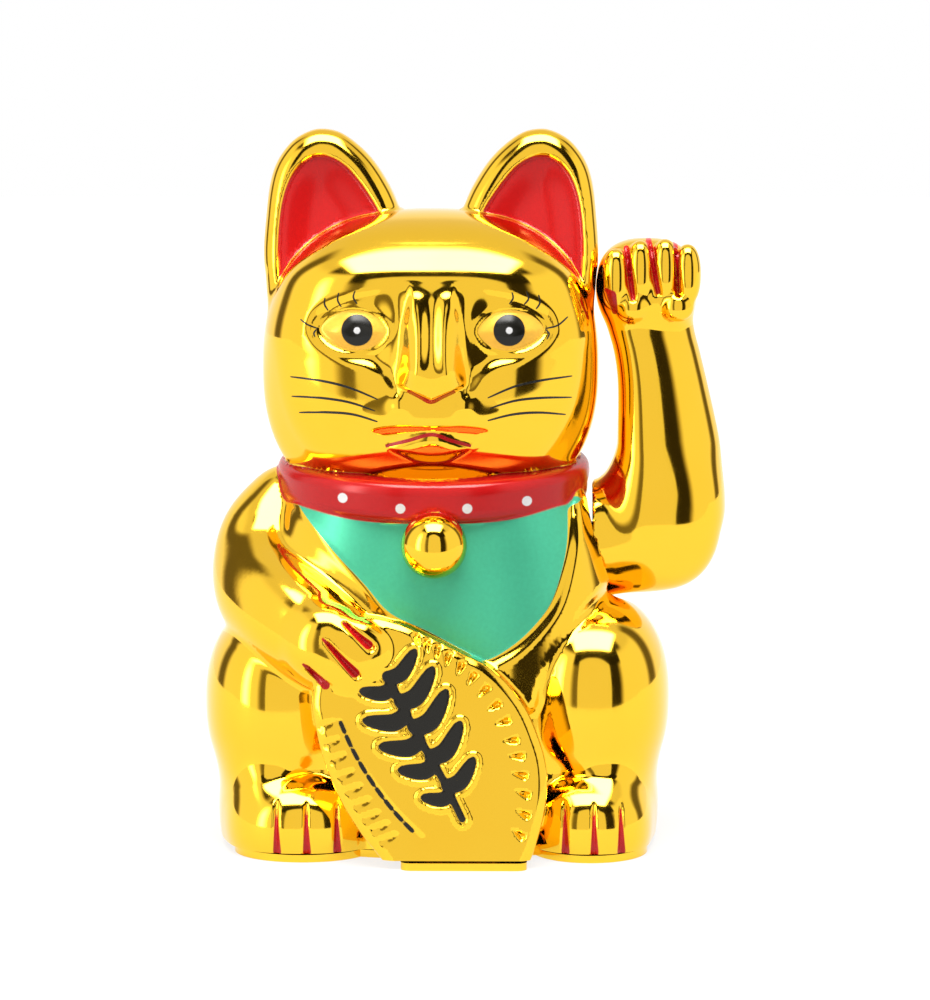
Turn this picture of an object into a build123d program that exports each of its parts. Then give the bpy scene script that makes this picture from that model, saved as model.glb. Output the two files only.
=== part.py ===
from build123d import *
import math
import os

# A battery-driven beckoning cat figurine, about 195 mm tall, in millimetres.
# The cat faces -Y, +Z is up and +X is the side of the waving arm.
# The origin is on the plane the figurine stands on, in the middle of its body.
# It is a gold-plated moulded shell in two halves that meet on the plane y = 0, on a screwed base
# plate. The waving arm turns on a steel axle with a pendulum whose magnet swings over a coil.

# ---- driving dimensions ----
WALL = 1.8              # moulded shell wall
SEAM_Y = 0.0            # the plane where the two shell halves meet
PLATE_T = 2.0           # base plate
SHELL_Z = 2.3           # lowest edge of the shells, a shadow gap above the base plate
FLANGE = 1.2            # how far the base plate stands out past the shells
RIM_INSET = 3.6         # the locating rim on the plate, measured in from the outside of the shells
AXIS_Y, AXIS_Z = 0.0, 82.0   # the arm's axle runs along X through here

# Cross sections of the lofted volumes: (z, centre x, centre y, half width, half depth)
TORSO = [(-4, 0.8, 2, 53, 42), (20, 0.8, 3, 52, 41), (45, 0.8, 3, 50, 41), (70, 0.5, 1, 47, 38.5),
         (88, 0.3, 0, 43.5, 36), (96, 0.2, -1, 42, 35), (106, 0, -2, 36, 31)]
HEAD = [(99, -0.5, -3, 34, 30), (104, -0.5, -3, 40, 34.5), (110, -0.5, -3, 43, 37),
        (118, -0.5, -2.5, 45, 38), (128, -0.5, -2, 45.8, 37.5), (140, -0.5, -2, 45.5, 36.5),
        (150, -0.5, -1, 44.5, 34.5), (160, -0.5, 0, 41.5, 30.5), (167, -0.5, 1, 35, 24.5),
        (171, -0.5, 1, 26, 17), (172.5, -0.5, 1, 15, 10)]
# An ear, for the side where x is positive
EAR = [(145, 26, 0, 17.5, 14), (158, 26, 0, 18, 12.5), (170, 26.3, 0, 18.5, 10), (181.6, 29.6, 0, 13.2, 7),
       (188.4, 30.2, 0, 8.8, 5), (193, 29, 0, 4.6, 3), (194.6, 28.4, 0, 1.6, 1)]

# Ellipsoids: (centre, radii)
THIGHS = [((-43.8, -10, 38.5), (19, 30, 26)), ((45.5, -10, 40), (19.2, 30, 26))]
HIPS = [((-42, -3, 14), (16.8, 36, 20)), ((44, -3, 14), (16, 36, 20))]
FEET = [((-34.5, -27, 8), (20, 20.5, 12.5)), ((42.5, -27, 8), (16.5, 20.5, 12.5))]
ROBE = ((33, -15, 80), (15.5, 14, 24))         # cloth fold in front of the waving arm's root
PAW = ((-24, -43, 57.5), (11.5, 8.5, 9))        # the resting paw, on the coin
MUZZLE = ((0, -30, 114), (20, 11, 12))
NOSE = ((0, -36.5, 134), (7.5, 9.5, 14))
EYES = [((20.3 * s, -32, 141), (9.2, 5, 5.2)) for s in (-1, 1)]
BELL = ((0.9, -40.5, 84.3), (8.8, 8.8, 8.8))

# The resting arm: (centre, direction of the limb, radius)
RESTING_ARM = [((-34, 0, 88), (-0.5, -0.1, -0.85), 10), ((-42.5, -4, 79), (-0.45, -0.3, -0.85), 13.5),
               ((-43.5, -14, 69), (0.15, -0.75, -0.6), 14), ((-36, -28, 62.5), (0.6, -0.72, -0.3), 12.5),
               ((-26, -39, 58.5), (0.68, -0.7, -0.2), 10.5)]

COLLAR_RADII, COLLAR_H, COLLAR_TILT = (43, 40.5), 10.6, 6.4
COLLAR_AT = (0, -1, 99.6)

# The coin is an oval plate that leans back and to one side
COIN_AT, COIN_RADII, COIN_T = (2.2, -52.8, 31), (23.4, 38), 15
COIN_LEAN, COIN_BACK = 26.7, 7.0
COIN_FOOT_X, COIN_FOOT_FRONT = (-6.5, 24.5), -56.3   # where the coin stands on the base

# The waving arm, an L: sections of the root along X, and of the forearm and paw along Z
ARM_ROOT_X = 43.6
ARM_ROOT = [(ARM_ROOT_X, 81.8, 13, 16.2), (52, 82, 13.2, 15.6), (62, 84, 12.5, 14.5)]   # x, z, half y, half z
ARM_ELBOW = ((62.5, 0, 86.5), (16.8, 13.2, 18.6))
FOREARM = [(84, 64.8, 0, 14.2, 13), (95, 64.8, 0, 14.4, 12.8), (109, 64.5, 0, 14.1, 12), (122, 63.2, 0, 12.9, 11),
           (133, 61.2, 0, 12, 10.3), (142, 59.1, -0.5, 12.2, 10.8), (150, 58.5, -1.5, 13.3, 12.2),
           (157, 58.6, -2, 12.9, 12), (161.5, 59.3, -2, 9.8, 9.2), (164.4, 60, -2, 4, 4)]
POCKET_R, POCKET_X, POCKET_WALL = 17.6, 42.3, 1.8    # round recess in the body that the arm turns in
HUB_R, HUB_HOLE_R = 4.5, 6.0

# The drive
AXLE_R, AXLE_X = 1.5, (-6.0, 50.0)
BUSH_R, BUSH_CLEARANCE, BUSH_T = 3.5, 0.05, 4.0
BUSH_X = (-2.0, 26.0)
FRAME_X, FRAME_BACK_Y, FRAME_Z = (-4.0, 28.0), (14.0, 16.5), (73.0, 91.0)
STANDOFF_R, STANDOFF_X, STANDOFF_Z = 3.2, (3.0, 21.0), 82.0
PENDULUM_X = 12.0
ROD_HALF, ROD_RIB_HALF = 1.5, 3.5
WEIGHT_T, WEIGHT_HALF_Y, WEIGHT_Z = 3.5, 6.5, (25.0, 41.0)
MAGNET_R, MAGNET_H, MAGNET_Z = 7.5, 5.0, 16.0
COIL_R, COIL_HOLE_R, COIL_Z, COIL_H = 12.5, 4.0, 7.6, 6.0
BOARD_X, BOARD_Y, BOARD_Z, BOARD_T = (-4.0, 38.0), (-15.0, 15.0), 6.0, 1.6
BOARD_SCREWS = [(-0.5, -12.0), (34.5, 12.0)]

# The battery, an AA cell along Y above the sliding door
CELL_R, CELL_LENGTH = 7.25, 50.5
CELL_AT = (-25.0, 0.0, 10.1)
DOOR_HALF, DOOR_FRONT, DOOR_Z, DOOR_GAP = 11.0, -31.0, (0.9, 2.2), 0.2
TONGUE, TONGUE_Z = 1.2, (1.2, 2.2)
GRIP_Y, GRIP_STEP, GRIP_COUNT, GRIP_Z = 20.0, 2.2, 5, 0.6      # ribs to push the door by

# Screw posts that join the base plate to the shells
POSTS = [(-43.0, -21.0), (40.0, -21.0), (-43.0, 17.0), (40.0, 19.0)]
POST_R, POST_Z, POST_HOLE_R = 3.6, (6.2, 28.0), 1.3
BOSS_R, BOSS_Z = 4.0, 6.0
SCREW_R, SCREW_HEAD_R = 1.25, 2.6

BIG = 400.0             # larger than the whole figurine


# ---- helpers ----
def save(shape, name):
    export_step(shape, f"parts/{name}.step")


def ellipsoid(spec, shrink=0.0):
    """The ball is turned first, which keeps its join line out of the shells' parting plane."""
    centre, radii = spec
    return Pos(*centre) * scale(Rot(0, 0, 37) * Sphere(1), by=tuple(r - shrink for r in radii))


def stacked(rows, shrink=0.0, side=1, keep_bottom=False):
    """A loft through level ellipses. shrink gives the same volume, smaller by that much all round."""
    low, high = rows[0][0], rows[-1][0]
    middle = low if keep_bottom else (low + high) / 2
    squeeze = 1 - shrink / (high - middle)
    faces = []
    for z, x, y, half_x, half_y in rows:
        if min(half_x, half_y) - shrink > 0.4:
            level = middle + (z - middle) * squeeze
            faces.append(Pos(side * x, y, level) * Rot(0, 0, 90) * Ellipse(half_y - shrink, half_x - shrink))
    return loft(faces)


def limb(rows, shrink=0.0):
    return loft([Plane(origin=at, z_dir=way) * Circle(r - shrink) for at, way, r in rows])


def cylinder_x(r, x0, x1, y=AXIS_Y, z=AXIS_Z):
    return Pos((x0 + x1) / 2, y, z) * Rot(0, 90, 0) * Cylinder(r, x1 - x0)


def cylinder_y(r, y0, y1, x, z):
    return Pos(x, (y0 + y1) / 2, z) * Rot(90, 0, 0) * Cylinder(r, y1 - y0)


def cylinder_z(r, z0, z1, x, y):
    return Pos(x, y, (z0 + z1) / 2) * Cylinder(r, z1 - z0)


def block(x, y, z):
    """A box from its limits along each axis."""
    middle = Pos((x[0] + x[1]) / 2, (y[0] + y[1]) / 2, (z[0] + z[1]) / 2)
    return middle * Box(x[1] - x[0], y[1] - y[0], z[1] - z[0])


FRONT_HALF = block((-BIG, BIG), (-BIG, SEAM_Y), (-BIG, BIG))
BACK_HALF = block((-BIG, BIG), (SEAM_Y, BIG), (-BIG, BIG))


# ---- the body ----
def coin(shrink=0.0):
    back, lean = math.radians(COIN_BACK), math.radians(COIN_LEAN)
    across, outward = (math.cos(lean), 0, math.sin(lean)), (0, -math.cos(back), math.sin(back))
    face = Plane(origin=COIN_AT, x_dir=across, z_dir=outward)
    outline = Ellipse(COIN_RADII[0] - shrink, COIN_RADII[1] - shrink)
    return extrude(face * Pos(0, 0, -shrink) * outline, -COIN_T)


def collar():
    band = fillet(extrude(Ellipse(*COLLAR_RADII), COLLAR_H / 2, both=True).edges(), 4.8)
    return Pos(*COLLAR_AT) * Rot(COLLAR_TILT, 0, 0) * band


def body_outside():
    body = stacked(TORSO) + stacked(HEAD)
    for side in (-1, 1):
        body += stacked(EAR, side=side)
    for spec in (*THIGHS, *HIPS, *FEET, ROBE):
        body += ellipsoid(spec)
    body += limb(RESTING_ARM)
    body += ellipsoid(PAW)
    body += fillet(coin().edges(), 1.2)
    for spec in (MUZZLE, NOSE, *EYES):
        body += ellipsoid(spec)
    body += collar()
    body += ellipsoid(BELL)
    body -= cylinder_x(POCKET_R, POCKET_X, POCKET_X + 40)
    return body - block((-BIG, BIG), (-BIG, BIG), (-BIG, SHELL_Z))


def body_cavity():
    cavity = stacked(TORSO, WALL, keep_bottom=True) + stacked(HEAD, WALL)
    for side in (-1, 1):
        cavity += stacked(EAR, WALL, side)
    for spec in (*THIGHS, *HIPS, *FEET):
        cavity += ellipsoid(spec, WALL)
    cavity += limb(RESTING_ARM[:-1], WALL)
    cavity += coin(WALL)
    return cavity - cylinder_x(POCKET_R + POCKET_WALL, POCKET_X - POCKET_WALL, POCKET_X + 40)


def shell_posts():
    """Screw posts for the base plate, each ribbed to the wall, and the pivot frame's two stand-offs."""
    posts = []
    for x, y in POSTS:
        out = math.copysign(60, x)
        rib = block(sorted((x, out)), (y - 0.9, y + 0.9), (POST_Z[0] + 2, POST_Z[1]))
        posts.append(cylinder_z(POST_R, *POST_Z, x, y) + rib)
    for x in STANDOFF_X:
        posts.append(cylinder_y(STANDOFF_R, FRAME_BACK_Y[1], 60, x, STANDOFF_Z))
    return posts


def post_holes():
    holes = [cylinder_z(POST_HOLE_R, POST_Z[0] - 1, POST_Z[0] + 9, x, y) for x, y in POSTS]
    for x in STANDOFF_X:
        holes.append(cylinder_y(POST_HOLE_R, FRAME_BACK_Y[1] - 1, FRAME_BACK_Y[1] + 8, x, STANDOFF_Z))
    return holes


# ---- the pivot frame, between the two shells ----
def pivot_frame():
    frame = block(FRAME_X, FRAME_BACK_Y, FRAME_Z)
    for x in BUSH_X:
        ear = block((x - 1.5, x + 1.5), (0, FRAME_BACK_Y[1]), (AXIS_Z - 7, AXIS_Z + 7))
        ear += cylinder_x(7, x - 1.5, x + 1.5)
        frame += ear
    for x in BUSH_X:
        frame -= cylinder_x(BUSH_R, x - 5, x + 5)
    for x in STANDOFF_X:
        frame -= cylinder_y(1.5, 10, 20, x, STANDOFF_Z)
    return frame


def bush(x):
    ring = cylinder_x(BUSH_R, x - BUSH_T / 2, x + BUSH_T / 2)
    ring += cylinder_x(BUSH_R + 1.2, x + 1.5, x + BUSH_T / 2)
    return ring - cylinder_x(AXLE_R + BUSH_CLEARANCE, x - 5, x + 5)


def frame_screw(x):
    """Pan-head screw along Y, from the front of the frame's back plate into a stand-off."""
    front = FRAME_BACK_Y[0]
    head = cylinder_y(SCREW_HEAD_R, front - 1.6, front, x, STANDOFF_Z)
    shank = cylinder_y(SCREW_R, front, front + 9, x, STANDOFF_Z)
    slot = block((x - 2, x + 2), (front - 2, front - 0.8), (STANDOFF_Z - 0.3, STANDOFF_Z + 0.3))
    return head + shank - slot


# ---- the waving arm ----
def arm_volume(shrink=0.0):
    sections = []
    for x, z, half_y, half_z in ARM_ROOT:
        inward = shrink if x == ARM_ROOT_X else 0
        plane = Plane(origin=(x + inward, 0, z), x_dir=(0, 1, 0), z_dir=(1, 0, 0))
        sections.append(plane * Ellipse(half_y - shrink, half_z - shrink))
    return loft(sections) + ellipsoid(ARM_ELBOW, shrink) + stacked(FOREARM, shrink)


def arm_halves():
    shell = arm_volume() - arm_volume(WALL) - cylinder_x(HUB_R, ARM_ROOT_X - 1, ARM_ROOT_X + 5)
    return shell & FRONT_HALF, shell & BACK_HALF


def arm_hub():
    hub = cylinder_x(HUB_R, 29, 49) + cylinder_x(9, ARM_ROOT_X + WALL, ARM_ROOT_X + WALL + 2)
    return hub - cylinder_x(AXLE_R, 28, AXLE_X[1])


def axle():
    groove = cylinder_x(AXLE_R + 1, -5.4, -4.6) - cylinder_x(1.0, -5.4, -4.6)
    return cylinder_x(AXLE_R, *AXLE_X) - groove


def axle_clip():
    clip = cylinder_x(3, -5.3, -4.7) - cylinder_x(1.0, -6, -4)
    return clip - block((-6, -4), (-0.8, 0.8), (AXIS_Z - 4, AXIS_Z))


def thrust_washer():
    return cylinder_x(3.4, 28.2, 28.8) - cylinder_x(AXLE_R, 28, 29)


def pendulum():
    """Boss on the axle, a rod with stiffening ribs, and a cup for the magnet."""
    cup_top = MAGNET_Z + MAGNET_H + 1.5
    boss = cylinder_x(5, PENDULUM_X - 6, PENDULUM_X + 6)
    rod = block((PENDULUM_X - ROD_HALF, PENDULUM_X + ROD_HALF), (-4, 4), (cup_top - 0.5, AXIS_Z))
    rib = block((PENDULUM_X - ROD_RIB_HALF, PENDULUM_X + ROD_RIB_HALF), (-0.8, 0.8), (cup_top - 0.5, AXIS_Z))
    cup = cylinder_z(MAGNET_R + 1.3, MAGNET_Z + 0.6, cup_top, PENDULUM_X, 0)
    cup -= cylinder_z(MAGNET_R, MAGNET_Z - 1, MAGNET_Z + MAGNET_H, PENDULUM_X, 0)
    shape = boss + rod + rib + cup - cylinder_x(AXLE_R, 0, 30) - grub_screw()
    for weight in counterweights():
        shape -= weight
    return shape


def grub_screw():
    return cylinder_y(1.2, -6, -AXLE_R, PENDULUM_X, AXIS_Z)


def counterweights():
    """A steel block on each side of the rod."""
    blocks = []
    for side in (-1, 1):
        inner, outer = PENDULUM_X + side * ROD_HALF, PENDULUM_X + side * (ROD_HALF + WEIGHT_T)
        blocks.append(block(sorted((inner, outer)), (-WEIGHT_HALF_Y, WEIGHT_HALF_Y), WEIGHT_Z))
    return blocks


# ---- the base ----
def base_outline(grow):
    outline = Pos(0.8, 2) * Ellipse(53 + grow, 42 + grow)
    for centre, radii in (*HIPS, *FEET):
        level = math.sqrt(1 - ((SHELL_Z - centre[2]) / radii[2]) ** 2)
        outline += Pos(centre[0], centre[1]) * Ellipse(radii[0] * level + grow, radii[1] * level + grow)
    width = COIN_FOOT_X[1] - COIN_FOOT_X[0] + 2 * grow
    depth = 30 + grow
    middle = sum(COIN_FOOT_X) / 2
    return outline + Pos(middle, COIN_FOOT_FRONT - grow + depth / 2) * RectangleRounded(width, depth, 3)


def door_slot():
    x, y = CELL_AT[0], (DOOR_FRONT - DOOR_GAP, 60)
    half = DOOR_HALF + DOOR_GAP
    slot = block((x - half, x + half), y, (-1, DOOR_Z[1] + DOOR_GAP))
    reach = half + TONGUE
    return slot + block((x - reach, x + reach), y, (TONGUE_Z[0] - DOOR_GAP, TONGUE_Z[1] + DOOR_GAP))


def battery_box():
    """Pad over the door's grooves, with four walls round the cell."""
    x, y, z = CELL_AT
    pad = block((x - 16, x + 16), (DOOR_FRONT - 3, 36), (PLATE_T - 0.5, 4.0))
    walls = block((x - 9.4, x + 9.4), (-31, 31), (PLATE_T, z + 6))
    hollow = block((x - 7.8, x + 7.8), (-29.4, 29.4), (-5, z + 20))
    return pad + walls, hollow


def base_plate():
    plate = extrude(base_outline(FLANGE), PLATE_T)
    rim = extrude(base_outline(-RIM_INSET), PLATE_T + 2.5)
    rim -= extrude(base_outline(-RIM_INSET - 1.5), PLATE_T + 4)
    pad, hollow = battery_box()
    plate = plate + rim + (pad & extrude(base_outline(-RIM_INSET), 40))
    for x, y in POSTS:
        plate += cylinder_z(BOSS_R, 0, BOSS_Z, x, y)
    for x, y in BOARD_SCREWS:
        plate += cylinder_z(2.8, 0, BOARD_Z, x, y)
    for x, y in POSTS:
        plate -= cylinder_z(1.5, -1, BOSS_Z + 1, x, y) + cylinder_z(SCREW_HEAD_R + 0.3, -1, 3.0, x, y)
    for x, y in BOARD_SCREWS:
        plate -= cylinder_z(1.0, 2.5, BOARD_Z + 1, x, y)
    return plate - hollow - door_slot()


def battery_door():
    x = CELL_AT[0]
    leaf = block((x - DOOR_HALF, x + DOOR_HALF), (DOOR_FRONT, 60), DOOR_Z)
    leaf += block((x - DOOR_HALF - TONGUE, x + DOOR_HALF + TONGUE), (DOOR_FRONT, 60), TONGUE_Z)
    leaf = leaf & extrude(base_outline(FLANGE), 10)
    for step in range(GRIP_COUNT):
        y = GRIP_Y + GRIP_STEP * step
        leaf += block((x - 6, x + 6), (y - 0.5, y + 0.5), (GRIP_Z, DOOR_Z[0] + 0.1))
    return leaf


def base_screw(x, y):
    head = cylinder_z(SCREW_HEAD_R, 1.3, 3.0, x, y)
    shank = cylinder_z(SCREW_R, 3.0, POST_Z[0] + 7, x, y)
    for half_x, half_y in ((1.8, 0.35), (0.35, 1.8)):
        head -= block((x - half_x, x + half_x), (y - half_y, y + half_y), (1, 2.3))
    return head + shank


# ---- battery and drive circuit ----
def cell():
    x, y, z = CELL_AT
    half = CELL_LENGTH / 2
    body = fillet(cylinder_y(CELL_R, -half, half - 1, x, z).edges(), 0.6)
    return body + cylinder_y(2.7, half - 2, half, x, z)


def contact_spring():
    x, y, z = CELL_AT
    turns = Helix(pitch=1.3, height=2.8, radius=3.6)
    wire = sweep(Plane(origin=turns @ 0, z_dir=turns % 0) * Circle(0.35), turns)
    return Pos(x, -CELL_LENGTH / 2 - 0.4, z) * Rot(90, 0, 0) * wire


def contact_plate(y0, y1):
    x, z = CELL_AT[0], CELL_AT[2]
    tab = block((x - 5, x + 5), (y0, y1), (4.4, z + 7))
    return tab + block((x - 1.2, x + 1.2), (y0, y1), (z + 6.5, z + 9))


def circuit_board():
    board = block(BOARD_X, BOARD_Y, (BOARD_Z, BOARD_Z + BOARD_T))
    for x, y in BOARD_SCREWS:
        board -= cylinder_z(1.3, BOARD_Z - 1, BOARD_Z + 3, x, y)
    return board


def board_screw(x, y):
    top = BOARD_Z + BOARD_T
    return cylinder_z(2.0, top, top + 1.3, x, y) + cylinder_z(0.95, top - 4.6, top, x, y)


def coil_bobbin():
    x = PENDULUM_X
    spool = cylinder_z(COIL_HOLE_R + 1, COIL_Z, COIL_Z + COIL_H, x, 0)
    spool += cylinder_z(COIL_R + 0.6, COIL_Z, COIL_Z + 0.8, x, 0)
    spool += cylinder_z(COIL_R + 0.6, COIL_Z + COIL_H - 0.8, COIL_Z + COIL_H, x, 0)
    return spool - cylinder_z(COIL_HOLE_R, COIL_Z - 1, COIL_Z + COIL_H + 1, x, 0)


def coil_winding():
    ring = cylinder_z(COIL_R, COIL_Z + 0.8, COIL_Z + COIL_H - 0.8, PENDULUM_X, 0)
    return ring - cylinder_z(COIL_HOLE_R + 1, COIL_Z, COIL_Z + COIL_H, PENDULUM_X, 0)


def transistor():
    x, y, z = 33.0, -4.0, BOARD_Z + BOARD_T
    body = cylinder_z(2.3, z + 2.5, z + 7.3, x, y) - block((x + 1.3, x + 5), (y - 5, y + 5), (z, z + 9))
    for step in (-1, 0, 1):
        body += block((x - 0.2, x + 0.2), (y + 1.27 * step - 0.2, y + 1.27 * step + 0.2), (z, z + 3))
    return body


def capacitor():
    z = BOARD_Z + BOARD_T
    return fillet(cylinder_z(2.5, z, z + 7, 31.5, 5.5).edges().sort_by(Axis.Z)[-1:], 0.4)


def wire(points, r=0.6):
    path = FilletPolyline(*points, radius=1.8)
    return sweep(Plane(origin=path @ 0, z_dir=path % 0) * Circle(r), path)


def wires():
    x, z = CELL_AT[0], CELL_AT[2]
    top = BOARD_Z + BOARD_T
    red = [(x, 25.6, z + 9.1), (x, 25.6, z + 16), (-8, 25.6, z + 16)]
    red += [(2, 20, 14), (2, 12.8, 12), (2, 12.8, top)]
    black = [(x, -29.1, z + 9.1), (x, -27, z + 14), (-8, -22, z + 14)]
    black += [(4, -20, 14), (4, -13, 12), (4, -13, top)]
    return wire(red), wire(black)


# ---- build every node ----
os.makedirs("parts", exist_ok=True)

outside, cavity = body_outside(), body_cavity()
shell = outside - cavity
shell -= cylinder_x(HUB_HOLE_R, POCKET_X - 5, POCKET_X + 5)
for post in shell_posts():
    shell += post & outside
for hole in post_holes():
    shell -= hole
save(shell & FRONT_HALF, "front_shell")
save(shell & BACK_HALF, "back_shell")

front_arm, back_arm = arm_halves()
save(front_arm, "arm_front_half")
save(back_arm, "arm_back_half")
save(arm_hub(), "arm_hub")
save(axle(), "axle")
save(axle_clip(), "axle_clip")
save(thrust_washer(), "thrust_washer")
save(pendulum(), "pendulum")
save(grub_screw(), "grub_screw")
save(Compound(children=counterweights()), "counterweights")
save(cylinder_z(MAGNET_R, MAGNET_Z, MAGNET_Z + MAGNET_H, PENDULUM_X, 0), "magnet")

save(pivot_frame(), "pivot_frame")
save(bush(BUSH_X[0]), "inner_bush")
save(bush(BUSH_X[1]), "outer_bush")
save(Compound(children=[frame_screw(x) for x in STANDOFF_X]), "frame_screws")

save(base_plate(), "base_plate")
save(battery_door(), "battery_door")
save(Compound(children=[base_screw(x, y) for x, y in POSTS]), "base_screws")

save(cell(), "battery_cell")
save(contact_spring(), "contact_spring")
save(contact_plate(-29.3, -28.9), "negative_contact")
save(contact_plate(25.4, 25.8), "positive_contact")
save(circuit_board(), "circuit_board")
save(Compound(children=[board_screw(x, y) for x, y in BOARD_SCREWS]), "board_screws")
save(coil_bobbin(), "coil_bobbin")
save(coil_winding(), "coil_winding")
save(transistor(), "transistor")
save(capacitor(), "capacitor")
red_wire, black_wire = wires()
save(red_wire, "red_wire")
save(black_wire, "black_wire")
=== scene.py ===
import math

import bmesh
import bpy
import numpy as np
from mathutils import Matrix, Vector
from mathutils.geometry import delaunay_2d_cdt


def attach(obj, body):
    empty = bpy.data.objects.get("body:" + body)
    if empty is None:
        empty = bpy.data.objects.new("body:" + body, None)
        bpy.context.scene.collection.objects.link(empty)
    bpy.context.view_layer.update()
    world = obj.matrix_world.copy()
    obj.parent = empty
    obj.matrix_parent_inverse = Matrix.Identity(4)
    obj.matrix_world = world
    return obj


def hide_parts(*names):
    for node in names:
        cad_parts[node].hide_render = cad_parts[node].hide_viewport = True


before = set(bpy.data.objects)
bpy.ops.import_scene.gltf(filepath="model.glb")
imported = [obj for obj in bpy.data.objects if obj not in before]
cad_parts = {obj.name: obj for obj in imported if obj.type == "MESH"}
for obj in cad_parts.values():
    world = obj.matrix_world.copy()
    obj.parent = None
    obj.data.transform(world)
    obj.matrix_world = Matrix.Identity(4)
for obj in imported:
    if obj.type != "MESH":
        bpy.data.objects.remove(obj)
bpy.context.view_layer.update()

# A gold-plated beckoning cat. The cat faces -Y, +Z is up and the waving arm is on the +X side.
# The plated shells are sculpted as distance fields in millimetres, then meshed in metres.

MM = 0.001
CELL = 1.15      # mesh cell of the shells, halved where there is fine relief
INNER_CELL = 2 * CELL               # and of their inside
WALL = 2.2                          # shell wall
SHELL_Z = 2.3                       # the shells' lowest edge, above the base plate
SEAM_GAP = 0.07                     # half the gap between two shells
AXIS_Z = 82.0                       # the arm's axle
POCKET_X, POCKET_RADIUS = 42.3, 17.6  # the round recess in the body that the arm's root turns in
ARM_ROOT_X = 43.5                   # the flat end of the arm's root
BODY_BORE, BODY_BORE_X = 6, 41.2    # the axle's bores: their radius, and where along the axle they are
ARM_BORE, ARM_BORE_X = 4.7, 44.6


# ---- field helpers: every field is negative inside and roughly a distance in millimetres ----
def smooth_min(a, b, k):
    h = np.clip(0.5 + 0.5 * (b - a) / k, 0, 1)
    return b + (a - b) * h - k * h * (1 - h)


def smooth_max(a, b, k):
    return -smooth_min(-a, -b, k)


def ramp(v, start, end):
    """0 up to start and 1 from end on, with a smooth step between."""
    t = np.clip((v - start) / (end - start), 0, 1)
    return t * t * (3 - 2 * t)


def bump(v, centre, width):
    return np.exp(-((v - centre) / width) ** 2)


def turned(p, centre, lean=0.0, pitch=0.0, yaw=0.0):
    """Points in the axes of a piece that leans about Y, pitches about X and yaws about Z, in degrees."""
    x, y, z = (p[i] - centre[i] for i in range(3))
    for angle, plane in ((-yaw, "xy"), (-lean, "zx"), (-pitch, "yz")):
        if angle:
            c, s = math.cos(math.radians(angle)), math.sin(math.radians(angle))
            if plane == "xy":
                x, y = c * x - s * y, s * x + c * y
            elif plane == "zx":
                z, x = c * z - s * x, s * z + c * x
            else:
                y, z = c * y - s * z, s * y + c * z
    return np.stack([x, y, z])


def egg(p, centre, radii, power=2.0, level_power=None, **turns):
    """An ellipsoid, or a squarer one for a power above 2. level_power is for its level sections alone."""
    level_power = level_power or power
    rx, ry, rz = radii
    x, y, z = np.abs(turned(p, centre, **turns)) / np.array(radii).reshape(3, 1) + 1e-6
    level = (x ** level_power + y ** level_power) ** (1 / level_power)
    rho = (level ** power + z ** power) ** (1 / power)
    side = level ** (power - level_power)
    slope = np.sqrt((side * x ** (level_power - 1) / rx) ** 2 + (side * y ** (level_power - 1) / ry) ** 2
                    + (z ** (power - 1) / rz) ** 2)
    return (rho - 1) / (slope * rho ** (1 - power))


def curve(v, knots):
    """A smooth function of v through (v, value) knots."""
    at = np.array([k[0] for k in knots], float)
    value = np.array([k[1] for k in knots], float)
    slope = np.gradient(value, at)
    i = np.clip(np.searchsorted(at, v) - 1, 0, len(at) - 2)
    step = at[i + 1] - at[i]
    t = np.clip((v - at[i]) / step, 0, 1)
    return ((2 * t**3 - 3 * t**2 + 1) * value[i] + (t**3 - 2 * t**2 + t) * step * slope[i]
            + (3 * t**2 - 2 * t**3) * value[i + 1] + (t**3 - t**2) * step * slope[i + 1])


def column(p, rows, power=2.0, skew=0.0):
    """An upright body through level ellipses: (z, centre x, centre y, half width, half depth).

    A skew slides the sections towards +Y on their +X side."""
    z = p[2]
    rows = smooth_line(rows, False, 5)
    cx, cy, rx, ry = (curve(z, [(r[0], r[i]) for r in rows]) for i in (1, 2, 3, 4))
    x, y = np.abs((p[0] - cx) / rx) + 1e-6, np.abs((p[1] - skew * (p[0] - cx) - cy) / ry) + 1e-6
    rho = (x ** power + y ** power) ** (1 / power)
    slope = np.sqrt((x ** (power - 1) / rx) ** 2 + (y ** (power - 1) / ry) ** 2) * rho ** (1 - power)
    return (rho - 1) / (slope + 1e-9)


def limb(p, spine, flat=1.0):
    """A round limb along (x, y, z, radius) points. flat below 1 makes it thinner in Y."""
    y = p[1] / flat
    best = None
    points = smooth_line(spine, False, 9)
    for (ax, ay, az, ar), (bx, by, bz, br) in zip(points, points[1:]):
        ay, by = ay / flat, by / flat
        d = (bx - ax, by - ay, bz - az)
        t = ((p[0] - ax) * d[0] + (y - ay) * d[1] + (p[2] - az) * d[2]) / sum(v * v for v in d)
        t = np.clip(t, 0, 1)
        gap = np.sqrt((p[0] - ax - t * d[0]) ** 2 + (y - ay - t * d[1]) ** 2 + (p[2] - az - t * d[2]) ** 2)
        gap = gap - (ar + (br - ar) * t)
        best = gap if best is None else smooth_min(best, gap, 1.0)
    return best * (0.5 + 0.5 * flat)


def smooth_line(points, closed, per=14):
    """A rounded line through the points, as many short straight pieces."""
    pts = np.array(points, float)
    n = len(pts)
    out = []
    for i in range(n if closed else n - 1):
        a, b, c, d = (pts[j % n] if closed else pts[min(max(j, 0), n - 1)] for j in (i - 1, i, i + 1, i + 2))
        for t in np.arange(per) / per:
            bend = (2 * a - 5 * b + 4 * c - d) * t**2 + (3 * b - a - 3 * c + d) * t**3
            out.append(0.5 * (2 * b + (c - a) * t + bend))
    if not closed:
        out.append(pts[-1])
    return np.array(out)


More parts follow.
